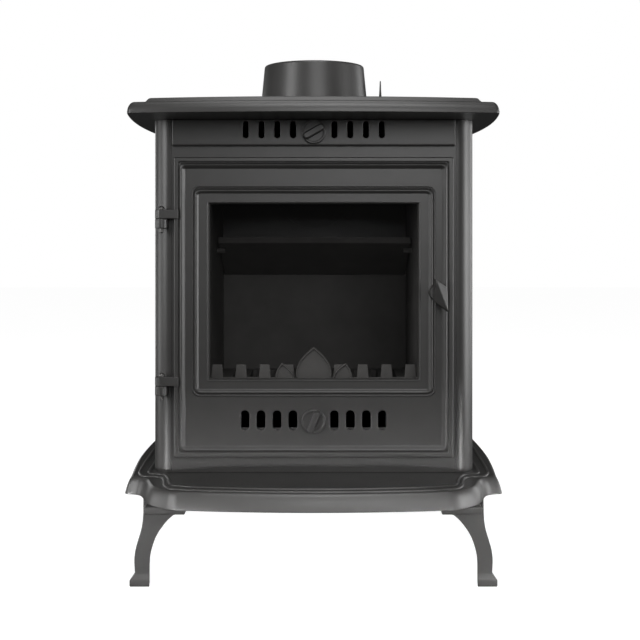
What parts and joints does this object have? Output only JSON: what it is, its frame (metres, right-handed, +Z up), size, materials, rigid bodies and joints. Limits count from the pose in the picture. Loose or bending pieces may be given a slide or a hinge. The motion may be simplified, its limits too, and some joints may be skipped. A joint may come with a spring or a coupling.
{
  "type": "potbelly stove",
  "caption": "Freestanding cast iron wood stove on cabriole legs, with a glazed hinged door, turning air controls, round top flue collar and bowed hearth plate.",
  "frame": {"origin": "on the floor under the middle of the stove's outer box", "axes": "+Z up, -Y the front with the door, +X to the right of someone facing the door"},
  "size_m": [0.4946, 0.45, 0.6623],
  "materials": {
    "stove_iron": "satin graphite stove paint on cast iron",
    "firebox_iron": "sooty matt cast iron",
    "steel_hardware": "blackened steel",
    "sheet_steel": "matt black painted sheet",
    "door_glass": "clear fire glass with a slight smoke tint",
    "seal_rope": "woven glass fibre rope"
  },
  "bodies": {
    "root": {"top_plate": "stove_iron", "flue_collar": "stove_iron", "left_side_panel": "stove_iron", "right_side_panel": "stove_iron", "back_panel": "stove_iron", "rear_outlet_cover": "stove_iron", "front_frame": "stove_iron", "upper_fascia": "stove_iron", "hearth_plate": "stove_iron", "leg_front_left": "stove_iron", "leg_front_right": "stove_iron", "leg_rear_left": "stove_iron", "leg_rear_right": "stove_iron", "left_liner": "firebox_iron", "right_liner": "firebox_iron", "back_liner": "firebox_iron", "baffle_plate": "firebox_iron", "grate": "firebox_iron", "fire_fence": "firebox_iron", "collar_bolt_1": "steel_hardware", "collar_bolt_2": "steel_hardware", "collar_bolt_3": "steel_hardware", "outlet_cover_bolt_left": "steel_hardware", "outlet_cover_bolt_right": "steel_hardware", "leg_bolt_front_left": "steel_hardware", "leg_bolt_front_right": "steel_hardware", "leg_bolt_rear_left": "steel_hardware", "leg_bolt_rear_right": "steel_hardware", "tie_rod_front_left": "steel_hardware", "tie_rod_front_right": "steel_hardware", "tie_rod_rear_left": "steel_hardware", "tie_rod_rear_right": "steel_hardware", "ash_pan": "sheet_steel"},
    "door": {"door_frame": "stove_iron", "door_glass": "door_glass", "glass_gasket": "seal_rope", "door_rope_seal": "seal_rope", "hinge_pin_upper": "steel_hardware", "hinge_pin_lower": "steel_hardware", "glass_clip_lower_left": "steel_hardware", "glass_clip_lower_right": "steel_hardware", "glass_clip_upper_left": "steel_hardware", "glass_clip_upper_right": "steel_hardware", "glass_clip_screw_lower_left": "steel_hardware", "glass_clip_screw_lower_right": "steel_hardware", "glass_clip_screw_upper_left": "steel_hardware", "glass_clip_screw_upper_right": "steel_hardware"},
    "handle": {"door_handle": "stove_iron", "latch_cam": "steel_hardware"},
    "upper_knob": {"upper_air_knob": "stove_iron", "upper_air_crank": "steel_hardware"},
    "upper_shutter": {"upper_air_shutter": "sheet_steel"},
    "lower_knob": {"lower_air_knob": "stove_iron", "lower_air_crank": "steel_hardware"},
    "lower_shutter": {"lower_air_shutter": "sheet_steel"},
    "damper": {"damper_plate": "firebox_iron", "damper_spindle": "steel_hardware", "damper_lever": "stove_iron"}
  },
  "joints": [
    {"name": "door_hinge", "type": "hinge", "parent": "root", "child": "door", "pos_m": [-0.192, -0.1185, 0.35], "axis": [0, 0, -1], "range_deg": [0, 110]},
    {"name": "handle_turn", "type": "hinge", "parent": "door", "child": "handle", "pos_m": [0.1537, -0.13, 0.3596], "axis": [0, -1, 0], "range_deg": [0, 90]},
    {"name": "upper_knob_turn", "type": "hinge", "parent": "root", "child": "upper_knob", "pos_m": [0, -0.12, 0.562], "axis": [0, 1, 0], "range_deg": [0, 60]},
    {"name": "upper_shutter_slide", "type": "slide", "parent": "root", "child": "upper_shutter", "axis": [1, 0, 0], "range_m": [0, 0.0101]},
    {"name": "lower_knob_turn", "type": "hinge", "parent": "door", "child": "lower_knob", "pos_m": [0, -0.12, 0.1975], "axis": [0, 1, 0], "range_deg": [0, 60]},
    {"name": "lower_shutter_slide", "type": "slide", "parent": "door", "child": "lower_shutter", "axis": [1, 0, 0], "range_m": [0, 0.0101]},
    {"name": "damper_turn", "type": "hinge", "parent": "root", "child": "damper", "pos_m": [0, 0.014, 0.611], "axis": [1, 0, 0], "range_deg": [0, 90]}
  ],
  "couplings": [
    {"joint": "upper_knob_turn", "follows": "upper_shutter_slide", "rad_per_m": 103.68},
    {"joint": "lower_knob_turn", "follows": "lower_shutter_slide", "rad_per_m": 103.68}
  ]
}
